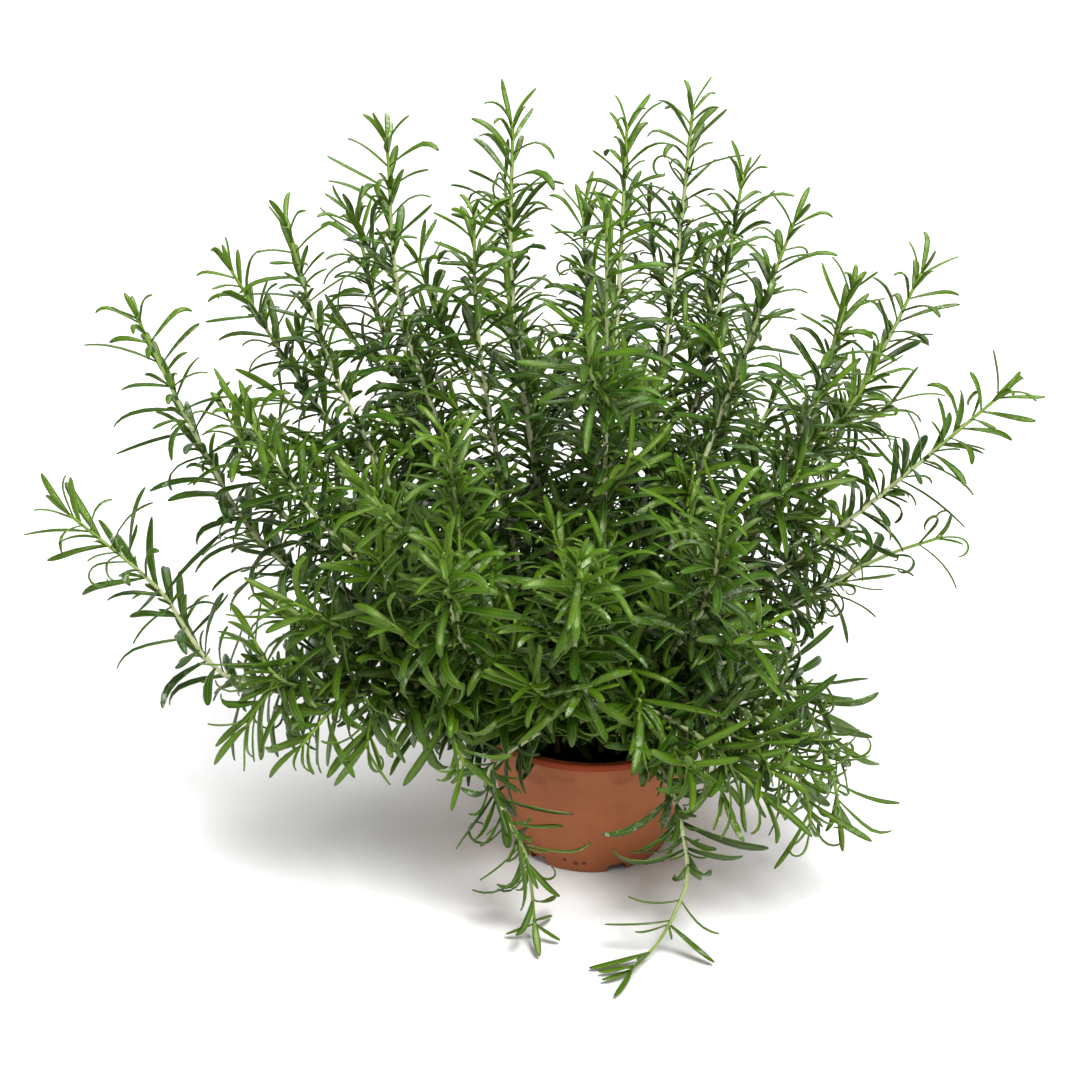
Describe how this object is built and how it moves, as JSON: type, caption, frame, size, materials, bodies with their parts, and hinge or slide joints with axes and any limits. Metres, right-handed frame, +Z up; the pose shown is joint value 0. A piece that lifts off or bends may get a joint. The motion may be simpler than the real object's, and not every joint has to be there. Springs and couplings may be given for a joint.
{
  "type": "potted rosemary plant",
  "caption": "Bushy rosemary in a squat tapered pot with a rolled lip: upright and arching leafy stems, two trailing over the rim.",
  "frame": {"origin": "middle of the pot's flat underside, on the surface that it stands on", "axes": "+Z up along the pot's axis, -Y towards the front, where two stems trail over the rim, +X to the right"},
  "size_m": [0.4744, 0.3196, 0.3777],
  "materials": {
    "pot": "matte, terracotta coloured",
    "soil": "rough, damp and dark",
    "plant": "waxy green leaves on pale green stems"
  },
  "bodies": {
    "root": {"pot": "pot", "soil": "soil", "leafy_stem_01": "plant", "leafy_stem_02": "plant", "leafy_stem_03": "plant", "leafy_stem_04": "plant", "leafy_stem_05": "plant", "leafy_stem_06": "plant", "leafy_stem_07": "plant", "leafy_stem_08": "plant", "leafy_stem_09": "plant", "leafy_stem_10": "plant", "leafy_stem_11": "plant", "leafy_stem_12": "plant", "leafy_stem_13": "plant", "leafy_stem_14": "plant", "leafy_stem_15": "plant", "leafy_stem_16": "plant", "leafy_stem_17": "plant", "leafy_stem_18": "plant", "leafy_stem_19": "plant", "leafy_stem_20": "plant", "leafy_stem_21": "plant", "leafy_stem_22": "plant", "leafy_stem_23": "plant", "leafy_stem_24": "plant", "leafy_stem_25": "plant", "leafy_stem_26": "plant", "leafy_stem_27": "plant", "leafy_stem_28": "plant", "leafy_stem_29": "plant", "leafy_stem_30": "plant", "leafy_stem_31": "plant", "leafy_stem_32": "plant", "leafy_stem_33": "plant", "leafy_stem_34": "plant", "leafy_stem_35": "plant", "leafy_stem_36": "plant", "leafy_stem_37": "plant", "leafy_stem_38": "plant", "leafy_stem_39": "plant", "leafy_stem_40": "plant", "leafy_stem_41": "plant", "leafy_stem_42": "plant", "leafy_stem_43": "plant", "leafy_stem_44": "plant", "leafy_stem_45": "plant", "leafy_stem_46": "plant", "leafy_stem_47": "plant", "leafy_stem_48": "plant", "leafy_stem_49": "plant", "leafy_stem_50": "plant"}
  },
  "joints": []
}
